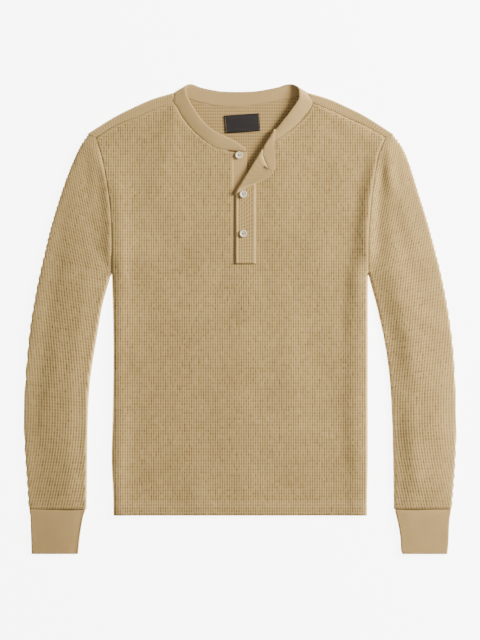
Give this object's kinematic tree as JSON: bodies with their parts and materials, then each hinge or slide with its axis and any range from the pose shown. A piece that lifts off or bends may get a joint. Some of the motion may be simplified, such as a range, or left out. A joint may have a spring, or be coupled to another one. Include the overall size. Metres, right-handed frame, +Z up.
{
  "type": "waffle-knit henley sweater",
  "caption": "Long-sleeved waffle-knit henley pullover with rib neckband, buttoned placket and rib cuffs, laid flat with its top corner folded open.",
  "frame": {"origin": "centre of the garment's outline on the surface that it lies on", "axes": "+Z up out of the garment's front, +Y towards the neck, +X to the right of someone who looks down on the front"},
  "size_m": [0.7317, 0.7946, 0.0127],
  "materials": {
    "waffle_knit": "matte cotton waffle knit, khaki",
    "rib_knit": "matte cotton fine rib, khaki",
    "button_shell": "satin off-white",
    "label_cloth": "dark woven label"
  },
  "bodies": {
    "root": {"front_panel": "waffle_knit", "back_panel": "waffle_knit", "sleeve_left": "waffle_knit", "sleeve_right": "waffle_knit", "cuff_left": "rib_knit", "cuff_right": "rib_knit", "neckband": "rib_knit", "placket_upper": "waffle_knit", "placket_under": "rib_knit", "button_1": "button_shell", "button_2": "button_shell", "button_3": "button_shell", "label": "label_cloth"}
  },
  "joints": []
}
